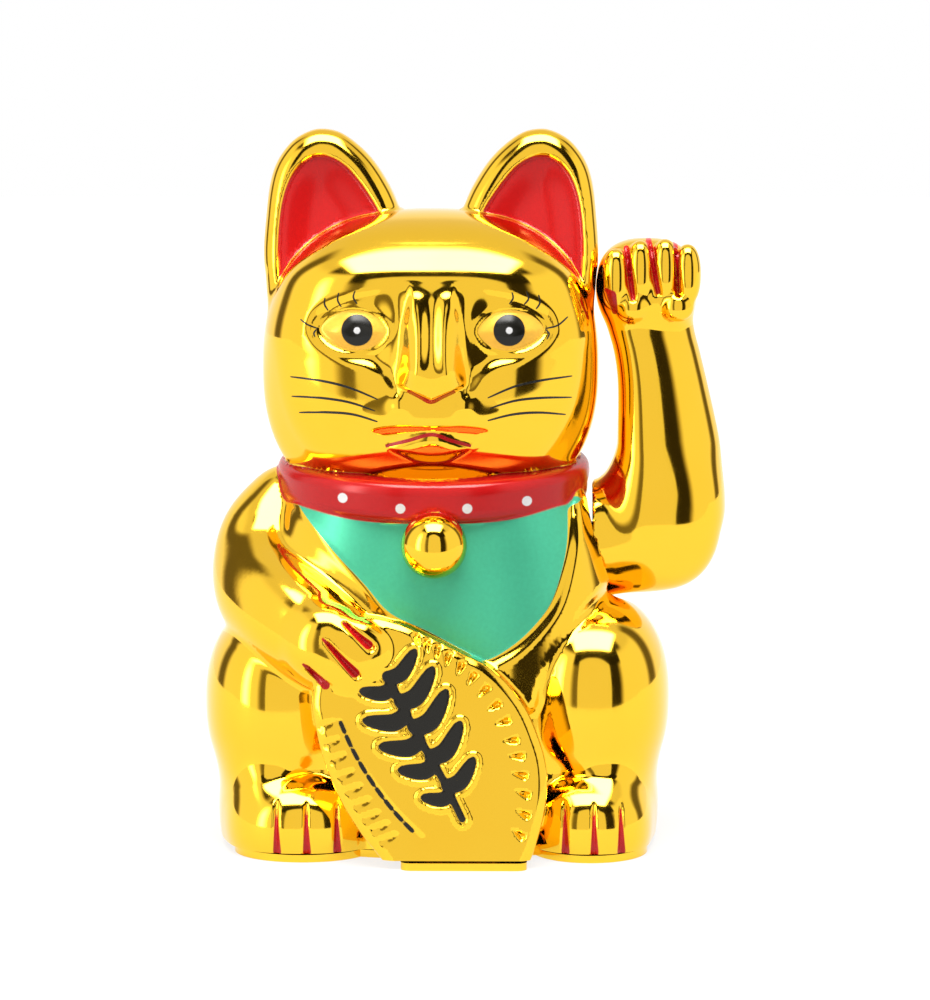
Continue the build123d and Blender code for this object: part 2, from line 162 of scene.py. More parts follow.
def outline_distance(x, z, points, smooth=True):
    """Signed distance in the XZ plane to a closed outline, negative inside."""
    pts = smooth_line(points, True) if smooth else np.array(points, float)
    best = np.full(x.shape, 1e9)
    inside = np.zeros(x.shape, bool)
    for (ax, az), (bx, bz) in zip(pts, np.roll(pts, -1, axis=0)):
        dx, dz = bx - ax, bz - az
        t = np.clip(((x - ax) * dx + (z - az) * dz) / (dx * dx + dz * dz + 1e-12), 0, 1)
        best = np.minimum(best, (x - ax - t * dx) ** 2 + (z - az - t * dz) ** 2)
        if az != bz:
            inside ^= ((az > z) != (bz > z)) & (x < dx * (z - az) / dz + ax)
    return np.where(inside, -1.0, 1.0) * np.sqrt(best)


class Drawing:
    """A smooth function over the XZ plane, as cubic B-splines over a grid of its values."""

    def __init__(self, low, high, step, make):
        self.low, self.step = low, step
        counts = [int((high[i] - low[i]) / step) + 2 for i in (0, 1)]
        x, z = np.meshgrid(*[low[i] + step * np.arange(counts[i]) for i in (0, 1)], indexing="ij")
        self.counts = counts
        self.values = make(x.ravel(), z.ravel())

    def __call__(self, x, z):
        rows = []
        for i, v in enumerate((x, z)):
            u = np.clip((v - self.low[i]) / self.step, 1, self.counts[i] - 2.001)
            cell = u.astype(np.int64)
            t = u - cell
            weights = ((1 - t) ** 3 / 6, (3 * t**3 - 6 * t**2 + 4) / 6,
                       (-3 * t**3 + 3 * t**2 + 3 * t + 1) / 6, t**3 / 6)
            rows.append((cell, weights))
        (i, across), (j, up) = rows
        total = np.zeros(np.shape(x))
        for a in range(4):
            line = (i + a - 1) * self.counts[1] + j - 1
            total += across[a] * sum(up[b] * self.values[line + b] for b in range(4))
        return total


def where(mask, far, make, p):
    """make(points) where the mask holds, and far elsewhere."""
    out = np.full(p.shape[1], far, float)
    if mask.any():
        out[mask] = make(p[:, mask])
    return out


# ---- the cat's shape ----
TORSO = [(-6, 0.8, 2, 55, 43), (20, 0.8, 3, 54, 42.5), (45, 0.8, 3, 51, 41.5), (66, 0.6, 1, 48.6, 39),
         (80, 0.4, 0, 46, 36.6), (88, 0.3, -0.5, 43.4, 35), (95, 0.2, -1, 40.4, 33.4),
         (102, 0, -1.5, 37.6, 32), (120, 0, -3, 30, 26)]
TORSO_TOP = 100
HEAD = (-0.6, -1.0, 130.2), (45.9, 37.5, 42.4)
FACE_X = 0.3                        # the middle of the face
EARS_X = -0.6                       # and of the ears
PUPILS_X = 0.6                      # and of the pupils, which are this far from it and this high
PUPIL_AT = (20.2, 141.3)
EAR_OUT = [(40, 140), (45.2, 156), (45.0, 171), (43.2, 182.8), (39, 190.2), (33.8, 193.9), (29, 194.7),
           (23.6, 193), (16.8, 187), (11.4, 178.9), (7.8, 170.7), (3, 160), (14, 146)]
EAR_RED = [(41.2, 154.2), (41.4, 165), (40.3, 175), (37.6, 182.2), (33.2, 186.6), (28.4, 187),
           (23.2, 184.2), (18, 178.2), (13.5, 171), (10.4, 164), (10, 150), (24, 138), (40, 143)]
BIB = [(-36, 93), (-26.7, 82.4), (-17.9, 73.5), (-11, 66), (-1, 61.2), (9, 55.8), (14.4, 53.2),
       (22.4, 57.4), (28.8, 63.4), (32.6, 69), (35.3, 77.4), (36.5, 84.4), (36.6, 92), (36.6, 95.5),
       (-36.6, 95.5)]
ROBE = [(36.8, 104), (47.5, 106), (53, 84), (51.5, 71), (47.5, 68.4), (41.5, 62), (36.6, 55), (32.2, 47),
        (28, 38), (10, 40), (8, 50), (14.4, 53), (22.4, 57.4), (28.8, 63.4), (32.6, 69), (35.3, 77.4),
        (36.5, 84.4), (36.6, 94)]

COIN_FACE_Y, COIN_BACK = -52.2, 6.5   # the coin's face at mid height, and how far it leans back in degrees
COIN = [(-31.2, 46), (-30, 36), (-28, 28.4), (-24.2, 19), (-18.8, 10), (-12.4, 2), (-8, -4), (22, -4),
        (26.5, 2), (29.4, 11), (30.9, 19.2), (30.7, 27.5), (28.4, 35.5), (25, 42.9), (20.2, 49.2),
        (14.9, 53.8), (9.4, 56.6), (4, 59.3), (-2.6, 62.4), (-9, 65), (-18, 66), (-27, 58)]
COIN_CENTRE = (1.5, 31)
COIN_NOTCHES = [(-3.3, 60.2), (-0.8, 58.8), (1.8, 57.2), (4.6, 55.4), (8, 53), (11, 50.2), (14.1, 46.9),
                (16.9, 42.9), (19.3, 38.8), (21.4, 33.9), (23, 29.8), (23.8, 24.9), (24.6, 20),
                (24.6, 14.7), (23.4, 9.3)]
COIN_FLUTES = [(-26.3, 38.3), (-24.7, 33.8), (-23.1, 29.6), (-21.1, 25.2), (-19.1, 21.3), (-16.9, 17.6),
               (-14.6, 14.1), (-12.2, 11.2), (-10.2, 8.2)]
COIN_DASHES = [(-23.6, 38.6), (-20.3, 31.3), (-15.5, 23.2), (-9.3, 15), (-2.5, 8)]
STEM = [(-11.4, 51), (-7.2, 42.6), (-2.2, 33.6), (3.4, 23.8), (8.6, 13.2)]
# Leaves along the stem: (how far along it, side, length, half width)
LEAVES = [(0.03, 1, 11, 2.2), (0.12, -1, 9, 2.1), (0.22, 1, 13.5, 2.5), (0.3, -1, 12, 2.4),
          (0.42, 1, 14, 2.6), (0.49, -1, 11.5, 2.4), (0.62, 1, 13, 2.5), (0.68, -1, 10, 2.3),
          (0.82, 1, 11, 2.3), (0.87, -1, 8, 2.0)]
TOES = (-41.1, -33.1, -25.1, 35.8, 43.5, 50.7)
CLAW_LINES = [((-23.4, 65.6), (-15.4, 58.6)), ((-28.7, 61.5), (-19, 51.2)), ((-33.8, 54.4), (-26.8, 47.6))]
FINGER_LINES = [((52.4, 163), (54.2, 148.5)), ((58.7, 164.5), (61, 150)), ((65.7, 163.4), (66.6, 149.8))]

SOCKET = [(5.6, 152.4), (10, 152.4), (16, 151.8), (22, 150.6), (27, 148.8), (30.8, 145.6), (32.2, 141.8),
          (31, 138.8), (28, 136.2), (23, 133.8), (17, 132), (12.4, 129.2), (9.4, 124.6), (8.8, 128),
          (7.8, 134), (6.6, 143)]
EYE = [(11.6, 141.2), (13.4, 144.2), (16.8, 146.4), (20.8, 147.2), (24.8, 146.4), (28.2, 144.4),
       (30.4, 141.4), (28.6, 138.2), (24.8, 136), (20.3, 135.4), (16, 136.2), (13, 138.4)]
MOUTH = [(-15.6, 114.2), (-8, 115.7), (0.3, 115.3), (8.6, 115.7), (15.2, 114.2), (10.9, 110.4),
         (5, 112.4), (0.3, 113.9), (-5, 112.4), (-12, 110.2)]
LIP = [(-11.5, 109.9), (-5, 112), (0.3, 113.4), (5, 112), (10.4, 109.9), (6.5, 107), (0.3, 105.8),
       (-6.5, 107)]
NOSE_TIP_Z, NOSE_SLOPE = 122.9, 0.44  # the V under the nose: its lowest point and how steeply it rises


def segment_distance(x, z, a, b):
    dx, dz = b[0] - a[0], b[1] - a[1]
    t = np.clip(((x - a[0]) * dx + (z - a[1]) * dz) / (dx * dx + dz * dz), 0, 1)
    return np.hypot(x - a[0] - t * dx, z - a[1] - t * dz), t


def line_distance(x, z, points, width=lambda t: 0.0):
    """Distance to a rounded open line, less the line's half width at t from 0 to 1 along it."""
    line = smooth_line(points, False, 5)
    best = np.full(np.shape(x), 1e9)
    for i, (a, b) in enumerate(zip(line, line[1:])):
        away, t = segment_distance(x, z, a, b)
        best = np.minimum(best, away - width((i + t) / (len(line) - 1)))
    return best


def leaf_distance(x, z):
    """Signed distance to the coin's ornament, a stem with rounded leaves."""
    best = line_distance(x, z, STEM, lambda t: 1.25 - 0.3 * t)
    spine = smooth_line(STEM, False, 12)
    for along, side, length, wide in LEAVES:
        i = int(along * (len(spine) - 2))
        start, way = spine[i], spine[i + 1] - spine[i]
        way = way / np.hypot(*way)
        out = np.array([way[1], -way[0]]) * side * -1
        tip = start + (out * 0.86 - way * 0.28) * length
        bend = start + (out * 0.62 + way * 0.1) * length * 0.55

        def half_width(t, wide=wide):
            return wide * np.sqrt(np.clip(np.sin(math.pi * (0.12 + 0.84 * t)), 0.02, 1))

        leaf = line_distance(x, z, [start, bend, tip], half_width)
        best = smooth_min(best, leaf, 0.5)
    return best


def dash_distance(x, z):
    best = np.full(np.shape(x), 9.0)
    line = smooth_line(COIN_DASHES, False, 12)
    steps = np.concatenate([[0], np.cumsum(np.hypot(*np.diff(line, axis=0).T))])
    for start in np.arange(0, steps[-1] - 2.6, 4.0):
        ends = [[np.interp(s, steps, line[:, i]) for i in (0, 1)] for s in (start, start + 2.6)]
        best = np.minimum(best, segment_distance(x, z, *ends)[0] - 0.62)
    return best


def coin_relief(x, z):
    """How far the coin's face stands out from its flat, in millimetres."""
    edge = outline_distance(x, z, COIN)
    height = 0.9 * ramp(-edge, 0.2, 2.6) - 0.9
    for nx, nz in COIN_NOTCHES:
        out = np.array([nx - COIN_CENTRE[0], (nz - COIN_CENTRE[1]) * 0.8])
        out /= np.hypot(*out)
        along, across = (x - nx) * out[0] + (z - nz) * out[1], (z - nz) * out[0] - (x - nx) * out[1]
        wide = np.clip(0.9 + 0.3 * along, 0.3, 1.6)
        notch = np.clip(1 - np.abs(across / wide), 0, 1)
        height -= 1.3 * notch * ramp(along, -2.6, 0) * ramp(-along, -2.4, -1.4)
    for nx, nz in COIN_FLUTES:
        out = np.array([-0.94, -0.34])
        along, across = (x - nx) * out[0] + (z - nz) * out[1], (z - nz) * out[0] - (x - nx) * out[1]
        flute = np.clip(1 - np.abs(across / 1.6), 0, 1)
        height -= 0.5 * flute * ramp(along, -3.2, 1.5) * ramp(-along, -4.4, -2.4)
    height -= 0.2 * bump(line_distance(x, z, COIN_DASHES), 0, 1.1)
    leaf = leaf_distance(x, z)
    height += 0.35 * ramp(-leaf, -0.2, 0.6) + 0.6 * bump(leaf, 0.75, 0.55)
    return height


def face_relief(x, z):
    """How far the face's features stand out from the head, in millimetres."""
    ax = np.abs(x - FACE_X)
    soft = np.maximum(ramp(z, 147, 138), ramp(ax, 20, 29))
    height = -0.09 * (142 - z) * ramp(142 - z, 0, 9) + 0.7 * bump(z, 156.5, 5.5)
    socket = outline_distance(ax, z, SOCKET)
    sunk = curve(z, [(146, 2.6), (151, 0.9)]) * (0.5 + 0.5 * ramp(ax, 9, 16))
    height -= sunk * ramp(-socket, -0.9 - 1.2 * soft, 1.4 + 1.6 * soft)
    eye = outline_distance(ax, z, EYE)
    height += 1.6 * ramp(-eye, -0.4, 5.4) + 0.35 * bump(eye, 0.4, 0.75)
    # nose: two ridges with a valley between, above a broad tip
    ridge = curve(z, [(120, 5.4), (128, 5.0), (135, 4.2), (145, 4.2), (153, 5.4), (160, 7)])
    reach = curve(z, [(120, 8.8), (128, 9.2), (134, 8.6), (142, 8.2), (150, 8.8), (160, 10)])
    rise = curve(z, [(118, 2.2), (123, 3.0), (126, 4.3), (129, 5.7), (131, 6.0), (134, 5.4), (140, 3.9),
                     (146, 2.3), (149.5, 1.4), (152, 0.5), (154.5, 0.0)])
    valley = curve(z, [(120, 0.1), (129, 0.2), (132, 1.0), (136, 1.6), (143, 1.5), (148, 1.1), (152, 0.4),
                       (155, 0.0)])
    nose = (rise - valley * bump(ax, 0, 0.6 * ridge)) * ramp(reach - ax, -0.8, 1.3 * (reach - ridge))
    above = z - (NOSE_TIP_Z + NOSE_SLOPE * ax)
    height += nose * ramp(above, -0.8, 0.6)
    # muzzle, mouth and lower lip
    height += 2.2 * np.clip(1 - (x / 20) ** 2 - ((z - 117) / 10) ** 2, 0, 1) ** 1.5
    height += 0.8 * bump(np.hypot(ax - 8.4, z - 121.4), 0, 2.6)
    mouth = outline_distance(x, z, MOUTH)
    height -= 1.2 * ramp(-mouth, -1.2, 2.2)
    lip = outline_distance(x, z, LIP)
    return height + 1.3 * ramp(-lip, -0.7, 2.6)


def torso_relief(x, z):
    bib, robe = outline_distance(x, z, BIB), outline_distance(x, z, ROBE)
    return 2.2 * ramp(-robe, -0.5, 4) + 0.3 * bump(bib, 0.5, 1.1) * ramp(-x, -8, 4)


EAR_EDGE = Drawing((-4, 132), (56, 200), 0.5, lambda x, z: outline_distance(x, z, EAR_OUT))
EAR_PANEL = Drawing((-4, 132), (56, 200), 0.5, lambda x, z: outline_distance(x, z, EAR_RED))
COIN_EDGE = Drawing((-42, -12), (42, 76), 0.5, lambda x, z: outline_distance(x, z, COIN))
COIN_FACE = Drawing((-36, -6), (36, 70), 0.25, coin_relief)
COIN_INK = Drawing((-36, -6), (36, 70), 0.25,
                   lambda x, z: np.minimum(leaf_distance(x, z), dash_distance(x, z)))
FACE = Drawing((-40, 98), (40, 164), 0.3, face_relief)
TORSO_FRONT = Drawing((-64, 26), (64, 112), 0.5, torso_relief)
BIB_EDGE = Drawing((-64, 26), (64, 112), 0.5, lambda x, z: outline_distance(x, z, BIB))


def ear_field(p):
    x, y, z = np.abs(p[0] - EARS_X), p[1], p[2]
    flat = EAR_EDGE(x, z)
    thick = curve(z, [(140, 15), (155, 12.5), (170, 9.8), (183, 7), (195, 4.5)])
    middle = curve(z, [(140, -2), (170, 0), (195, 1)])
    panel = -EAR_PANEL(x, z)
    dish = 1.3 * ramp(panel, -0.9, 1.0) + 2.6 * ramp(panel, -1, 11)
    front = -(y - middle) - thick + dish
    back = (y - middle) - thick
    slab = smooth_max(front, back, 5)
    return smooth_max(flat, slab, 6.5)


def head_field(p):
    head = egg(p, *HEAD, 2.45, 3.1)
    return head - FACE(p[0], p[2]) * ramp(-p[1], 12, 24)


def collar_field(p):
    q = turned(p, (0, -1, 99.4), pitch=6.4)
    rho = np.sqrt((q[0] / 42.8) ** 2 + (q[1] / 38.4) ** 2) + 1e-6
    out = (rho - 1) * 40.5
    band = np.abs(q[2]) - 5.5
    return smooth_max(smooth_max(out, band, 3.5), -out - 9, 1)


def coin_axes(p):
    """Coordinates on the leaning coin: across, behind its face and up its face."""
    lean = math.radians(COIN_BACK)
    y, z = p[1] - COIN_FACE_Y, p[2] - 33
    return p[0], math.cos(lean) * y - math.sin(lean) * z, math.cos(lean) * z + math.sin(lean) * y + 33


def coin_field(p):
    x, depth, z = coin_axes(p)
    plate = smooth_max(np.maximum(-depth - COIN_FACE(x, z), depth - 14), COIN_EDGE(x, z), 1.2)
    return smooth_max(plate, -p[2] - 1, 1)


def grooves(p, lines, width, depth, front):
    """How deep narrow grooves along the lines cut in, in front of y = front. They are narrow at the top."""
    cut = 0
    for a, b in lines:
        away, t = segment_distance(p[0], p[2], a, b)
        wide = width * (0.6 + 0.5 * t)
        cut = cut + depth * np.exp(-((away / wide) ** 2)) * ramp(t, 0, 0.25)
    return cut * ramp(-p[1], -front - 2, -front + 2)


def foot_field(p, side):
    x = -34.8 if side < 0 else 42.6
    wide = 20.5 if side < 0 else 17
    foot = egg(p, (x, -25.5, 7.5), (wide, 21.5, 15.4), 2.3)
    lines = [((t, 17), (t, 0)) for t in TOES if t * side > 0]
    return foot + where(np.abs(p[0] - x) < 26, 0, lambda q: grooves(q, lines, 0.8, 0.8, -32), p)


def paw_field(p):
    arm = limb(p, [(-40, 0, 91, 11), (-44.4, -3, 83, 13.4), (-45.6, -8, 75.5, 14.2), (-44, -16, 69.4, 14.6),
                   (-40, -24, 65.5, 14.4), (-35, -31, 62, 13.8), (-28, -39, 57.8, 12)])
    hand = egg(p, (-25, -44, 56.6), (12.8, 8.6, 10.6), 2.2, lean=38)
    arm = smooth_min(arm, hand, 4)
    fingers = egg(p, (-19.5, -47.5, 55.5), (8.6, 5.5, 10), 2.4, lean=35)
    arm = smooth_min(arm, fingers, 3)
    return arm + where(p[1] < -34, 0, lambda q: grooves(q, CLAW_LINES, 0.9, 1.4, -38), p)


def body_outside(p):
    """The whole plated body, down through the floor, with no hollow."""
    p = p.astype(float)
    x, y, z = p
    torso = column(p, TORSO, 2.5)
    torso = torso - where((z < 112) & (y < 0), 0, lambda q: TORSO_FRONT(q[0], q[2]) * ramp(-q[1], 4, 14), p)
    body = smooth_max(torso, z - TORSO_TOP, 3)
    for side, centre, radii in ((-1, (-40.6, -9, 39), (21.6, 31, 27)), (1, (43.4, -9, 40), (21.2, 31, 27.5))):
        thigh = egg(p, centre, radii, 2.35)
        hip = egg(p, (centre[0] + side * 2.9, -2, 10), (15.6, 40, 24), 2.3)
        leg = smooth_min(thigh, hip, 5)
        body = smooth_min(body, leg, 3)
        body = smooth_min(body, foot_field(p, side), 1.8)
    body = smooth_min(body, where((z < 110) & (x < 2), 60, paw_field, p), 2.4)
    head = where(z > 84, 60, head_field, p)
    ears = where(z > 138, 60, ear_field, p)
    head = smooth_min(head, ears, 1.3)
    body = smooth_min(body, head, 1.0)
    body = smooth_min(body, where((z < 80) & (y < -20), 60, coin_field, p), 1.3)
    body = smooth_min(body, where((z > 84) & (z < 116), 60, collar_field, p), 0.6)
    return smooth_min(body, egg(p, (0.9, -41.6, 84.5), (8.8, 8.8, 8.8)), 0.5)


def body_skin(p):
    pocket = smooth_max(np.hypot(p[1], p[2] - AXIS_Z) - POCKET_RADIUS, POCKET_X - p[0], 0.6)
    return smooth_max(body_outside(p), -pocket, 0.8)


def body_lining(p):
    """The hollow's surface, seen from the wall."""
    pocket = np.maximum(np.hypot(p[1], p[2] - AXIS_Z) - POCKET_RADIUS, POCKET_X - p[0])
    return -(smooth_max(body_outside(p), -pocket, 1) + WALL)


FOREARM = [(70, 64.8, 0, 14.6, 12.6), (88, 64.9, 0, 14.7, 12.6), (98, 64.8, 0, 14.7, 12.4),
           (109, 64.5, 0, 14.2, 11.8), (124, 62.9, 0, 12.5, 10.6), (133, 61.3, 0, 11.9, 10.2),
           (141, 59.3, 0, 12.0, 10.4), (150, 58.4, -0.5, 12.8, 11), (156, 58.4, -0.5, 11, 10),
           (160, 58.4, -0.5, 6, 5)]


def arm_outside(p):
    p = p.astype(float)
    z = p[2]
    root = limb(p, [(40, 0, 81.7, 15.6), (50, 0, 82.2, 15.2), (58, 0, 85, 15)], 0.82)
    elbow = egg(p, (62.6, 0, 89), (16.6, 13.6, 21), 2.3)
    forearm = smooth_max(column(p, FOREARM, 2.2, 0.25), np.maximum(86 - z, z - 156), 6)
    arm = smooth_min(smooth_min(root, elbow, 5), forearm, 4)
    palm = egg(p, (58.2, -1.5, 152), (13.6, 11.6, 12.6), 2.5)
    arm = smooth_min(arm, palm, 3)
    # four fingers curled forward over the palm, and two pads below them
    for fx, top in ((49.6, 158.8), (56.2, 161), (62.9, 161.4), (69, 160)):
        finger = egg(p, (fx, -10.2, top - 5), (3.7, 4.6, 8.2), 2.3)
        arm = smooth_min(arm, finger, 1.0)
    for fx in (54.2, 66.4):
        arm = smooth_min(arm, egg(p, (fx, -11.2, 146.4), (4.4, 3.4, 4.2)), 1.2)
    return arm + where(z > 140, 0, lambda q: grooves(q, FINGER_LINES, 0.8, 1.0, -4), p)


def arm_skin(p):
    return np.maximum(arm_outside(p), ARM_ROOT_X - p[0])


def arm_lining(p):
    return -(smooth_max(arm_outside(p), ARM_ROOT_X - p[0], 0.5) + WALL)


# ---- meshing a field ----
def gradient(field, p, step=0.05):
    out = np.empty(p.shape)
    for i in range(3):
        ahead, behind = p.copy(), p.copy()
        ahead[i] += step
        behind[i] -= step
        out[i] = (field(ahead) - field(behind)) / (2 * step)
    return out


def in_pieces(field, p, most=400000):
    return np.concatenate([field(p[:, i:i + most]) for i in range(0, p.shape[1], most)])


def mesh_field(field, low, high, cell):
    """Vertices (n, 3) and quads (m, 4) of the surface where the field is zero, by surface nets."""
    n = 4
    low = np.array(low, float)
    blocks = np.ceil((np.array(high) - low) / (cell * n)).astype(int)
    which = np.stack(np.meshgrid(*[np.arange(b) for b in blocks], indexing="ij"), -1).reshape(-1, 3)
    centres = (low + (which + 0.5) * cell * n).T
    rough = in_pieces(field, centres)
    near = np.abs(rough) < 1.45 * cell * n
    shape = blocks * n + 1
    grid = np.pad(rough.reshape(blocks).repeat(n, 0).repeat(n, 1).repeat(n, 2), ((0, 1),) * 3, mode="edge")
    wanted = np.zeros(shape, bool)
    start = which[near] * n
    for a in range(n + 1):
        for b in range(n + 1):
            for c in range(n + 1):
                wanted[start[:, 0] + a, start[:, 1] + b, start[:, 2] + c] = True
    at = np.argwhere(wanted)
    grid[wanted] = in_pieces(field, (low + at * cell).T)
    inside = grid < 0

    count = np.zeros(shape - 1, np.int8)
    corners = [(a, b, c) for a in (0, 1) for b in (0, 1) for c in (0, 1)]
    size = shape - 1
    for a, b, c in corners:
        count += inside[a:a + size[0], b:b + size[1], c:c + size[2]]
    cells = np.argwhere((count > 0) & (count < 8))
    values = {k: grid[cells[:, 0] + k[0], cells[:, 1] + k[1], cells[:, 2] + k[2]] for k in corners}
    total, hits = np.zeros((len(cells), 3)), np.zeros(len(cells))
    for a in corners:
        for axis in range(3):
            if a[axis]:
                continue
            b = tuple(v + (i == axis) for i, v in enumerate(a))
            cross = (values[a] < 0) != (values[b] < 0)
            t = np.where(cross, values[a] / np.where(cross, values[a] - values[b], 1), 0)
            point = np.tile(np.array(a, float), (len(cells), 1))
            point[:, axis] += t
            total += point * cross[:, None]
            hits += cross
    verts = low + (cells + total / hits[:, None]) * cell

    index = np.full(size, -1, np.int64)
    index[cells[:, 0], cells[:, 1], cells[:, 2]] = np.arange(len(cells))
    quads = []
    for axis in range(3):
        u, v = (axis + 1) % 3, (axis + 2) % 3
        sl_a = [slice(1, -1)] * 3
        sl_b = [slice(1, -1)] * 3
        sl_a[axis], sl_b[axis] = slice(0, -1), slice(1, None)
        first, second = inside[tuple(sl_a)], inside[tuple(sl_b)]
        edges = np.argwhere(first != second)
        out = first[edges[:, 0], edges[:, 1], edges[:, 2]]
        base = edges + 1
        base[:, axis] -= 1
        ring = []
        for du, dv in ((-1, -1), (0, -1), (0, 0), (-1, 0)):
            c = base.copy()
            c[:, u] += du
            c[:, v] += dv
            ring.append(index[c[:, 0], c[:, 1], c[:, 2]])
        ring = np.stack(ring, 1)
        ring[~out] = ring[~out][:, ::-1]
        quads.append(ring)
    quads = np.concatenate(quads)
    quads = quads[(quads >= 0).all(1)]
    return settle(field, verts, cell), quads


def settle(field, verts, cell):
    """Moves each vertex onto the surface."""
    p = verts.T.copy()
    for _ in range(3):
        g = gradient(field, p, 0.08)
        length = np.maximum((g ** 2).sum(0), 0.05)
        move = -in_pieces(field, p) * g / length
        size = np.sqrt((move ** 2).sum(0))
        p += move * np.minimum(1, 0.35 * cell / np.maximum(size, 1e-6))
    return p.T


def refine(field, verts, quads, chosen, cell):
    """Splits the chosen quads into four, and gives their neighbours the new points."""
    ends = np.stack([quads, np.roll(quads, -1, 1)], -1)
    keys = np.sort(ends.reshape(-1, 2), 1)
    unique, edge_of = np.unique(keys[:, 0] * len(verts) + keys[:, 1], return_inverse=True)
    edge_of = edge_of.reshape(-1, 4)
    split = np.zeros(len(unique), bool)
    split[edge_of[chosen]] = True
    middle = np.full(len(unique), -1)
    middle[split] = len(verts) + np.arange(split.sum())
    pair = np.stack([unique[split] // len(verts), unique[split] % len(verts)], 1)
    centres = verts[quads[chosen]].mean(1)
    centre = len(verts) + len(pair) + np.arange(len(centres))
    added = np.concatenate([verts[pair].mean(1), centres])
    verts = np.concatenate([verts, settle(field, added, cell)])
    corner, mid = quads[chosen], middle[edge_of[chosen]]
    small = np.concatenate([np.stack([corner[:, i], mid[:, i], centre, mid[:, i - 1]], 1) for i in range(4)])
    rest = ~chosen
    beside = rest & split[edge_of].any(1)
    faces = small.tolist() + quads[rest & ~beside].tolist()
    for quad, edges in zip(quads[beside].tolist(), middle[edge_of[beside]].tolist()):
        faces.append([v for pair in zip(quad, edges) for v in pair if v >= 0])
    return verts, faces


def add_object(name, data):
    obj = bpy.data.objects.new(name, data)
    bpy.context.scene.collection.objects.link(obj)
    return obj


def polygon_mesh(verts, faces):
    mesh = bpy.data.meshes.new("part")
    mesh.from_pydata(verts.tolist(), [], faces)
    bm = bmesh.new()
    bm.from_mesh(mesh)
    bpy.data.meshes.remove(mesh)
    return bm


def shell_mesh(skin, lining, low, high, fine, bore, x):
    """A hollow shell: the skin and the lining, with a round bore for the axle through the wall at x."""
    verts, quads = mesh_field(skin, low, high, CELL)
    verts, faces = refine(skin, verts, quads, fine(verts[quads].mean(1).T), CELL)
    shell = polygon_mesh(verts, faces)
    verts, quads = mesh_field(lining, low, high, INNER_CELL)
    inner = polygon_mesh(verts, quads.tolist())
    spare = bpy.data.meshes.new("spare")
    inner.to_mesh(spare)
    shell.from_mesh(spare)
    inner.free()
    shell.to_mesh(spare)
    shell.free()
    return bored(spare, bore, x)


def bored(mesh, radius, x):
    """The mesh with a round hole drilled through it along the axle at x. It uses the mesh up."""
    turn = Matrix.Translation((x, 0, AXIS_Z)) @ Matrix.Rotation(math.pi / 2, 4, "Y")
    drill = bmesh.new()
    bmesh.ops.create_cone(drill, cap_ends=True, segments=48, radius1=radius, radius2=radius, depth=5,
                          matrix=turn)
    tool = bpy.data.meshes.new("drill")
    drill.to_mesh(tool)
    drill.free()
    solid, cutter = add_object("spare", mesh), add_object("drill", tool)
    cut = solid.modifiers.new("bore", "BOOLEAN")
    cut.operation, cut.solver, cut.object = "DIFFERENCE", "EXACT", cutter
    result = bpy.data.meshes.new_from_object(solid.evaluated_get(bpy.context.evaluated_depsgraph_get()))
    shell = bmesh.new()
    shell.from_mesh(result)
    for obj in (solid, cutter):
        bpy.data.objects.remove(obj)
    for used in (mesh, tool, result):
        bpy.data.meshes.remove(used)
    return shell


def cut_flat(bm, at, normal):
    """Cuts away what is on the normal's side and closes the cut with flat triangles of material index 1."""
    geom = bm.verts[:] + bm.edges[:] + bm.faces[:]
    cut = bmesh.ops.bisect_plane(bm, geom=geom, plane_co=at, plane_no=normal, clear_outer=True, dist=1e-4)
    rim = [v for v in cut["geom_cut"] if isinstance(v, bmesh.types.BMVert)]
    bmesh.ops.remove_doubles(bm, verts=rim, dist=2e-3)
    edges = [e for e in bm.edges if e.is_boundary]
    verts = list({v: None for e in edges for v in e.verts})
    number = {v: i for i, v in enumerate(verts)}
    u, w = [i for i in range(3) if abs(normal[i]) < 0.5]
    flat = [Vector((v.co[u], v.co[w])) for v in verts]
    pairs = [(number[e.verts[0]], number[e.verts[1]]) for e in edges]
    points, _, faces, origin, _, _ = delaunay_2d_cdt(flat, pairs, [], 0, 1e-6)
    points = np.array([tuple(v) for v in points])
    faces = np.array(faces)
    middle = points[faces].mean(1)
    inside = np.zeros(len(faces), bool)
    for i, j in pairs:
        (ax, az), (bx, bz) = flat[i], flat[j]
        if az != bz:
            crosses = (az > middle[:, 1]) != (bz > middle[:, 1])
            inside ^= crosses & (middle[:, 0] < (bx - ax) * (middle[:, 1] - az) / (bz - az) + ax)
    level = Vector(at).dot(Vector(normal))
    for i, point in enumerate(points):
        if origin[i]:
            verts.append(verts[origin[i][0]])
            continue
        spot = Vector(normal) * level
        spot[u], spot[w] = point
        verts.append(bm.verts.new(spot))
    first = len(verts) - len(points)
    for face in faces[inside]:
        corners = [verts[first + i] for i in face]
        if len(set(corners)) == 3 and not bm.faces.get(corners):
            bm.faces.new(corners).material_index = 1
    bmesh.ops.delete(bm, geom=[v for v in bm.verts if not v.link_faces], context="VERTS")


def read(items, name, width=0):
    """One property of every item: rows of floats of the given width, or whole numbers."""
    values = np.empty(len(items) * max(width, 1), float if width else np.int64)
    items.foreach_get(name, values)
    return values.reshape(-1, width) if width else values


